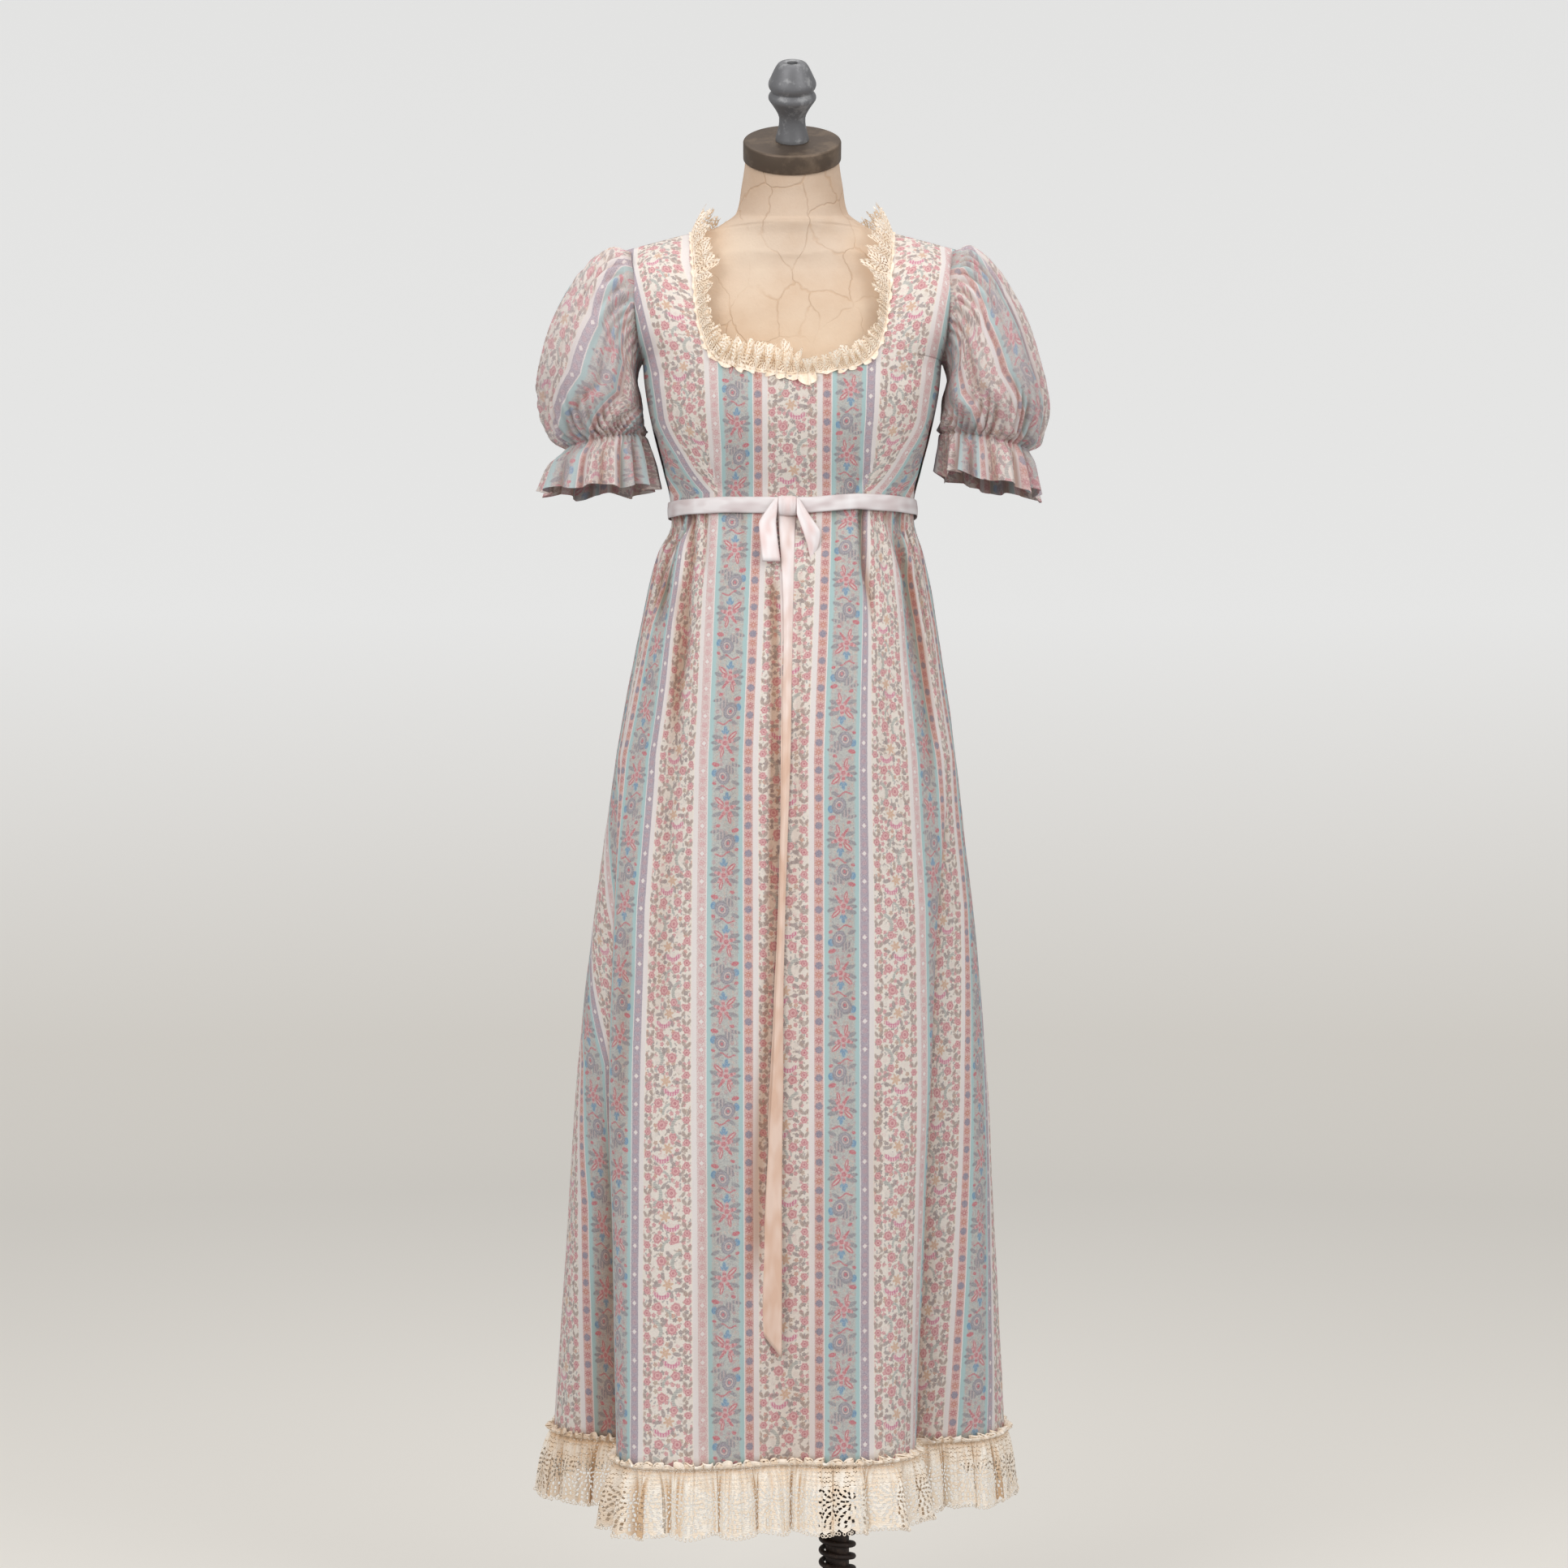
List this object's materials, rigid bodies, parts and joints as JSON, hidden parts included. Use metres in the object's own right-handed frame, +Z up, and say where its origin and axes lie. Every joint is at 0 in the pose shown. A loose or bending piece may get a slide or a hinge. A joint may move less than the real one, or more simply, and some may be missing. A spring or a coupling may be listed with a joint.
{
  "type": "prairie dress on dress form",
  "caption": "Long empire-waist dress with puff sleeves, gathered lace at neck and hem and a ribbon sash, hung on a limbless form on a round-based stand.",
  "frame": {"origin": "middle of the base's flat underside, under the column", "axes": "+Z up along the column, the dress faces -Y, +X is to the right as seen from the front"},
  "size_m": [0.5532, 0.4685, 1.7721],
  "materials": {
    "cotton": "matte",
    "lace": "matte",
    "ribbon": "satin",
    "form": "matte",
    "cap": "satin",
    "finial": "satin",
    "column": "satin"
  },
  "bodies": {
    "root": {"bodice_front": "cotton", "bodice_back_left": "cotton", "bodice_back_right": "cotton", "skirt_front": "cotton", "skirt_back": "cotton", "sleeve_left": "cotton", "sleeve_right": "cotton", "hem_lace_front": "lace", "hem_lace_back": "lace", "neck_lace_front": "lace", "neck_lace_back": "lace", "sash": "ribbon", "bow_knot": "ribbon", "bow_loop_left": "ribbon", "bow_loop_right": "ribbon", "ribbon_tail_front": "ribbon", "ribbon_tail_back": "ribbon", "form_torso": "form", "neck_cap": "cap", "finial": "finial", "column": "column", "column_spring": "column", "base": "column"}
  },
  "joints": []
}
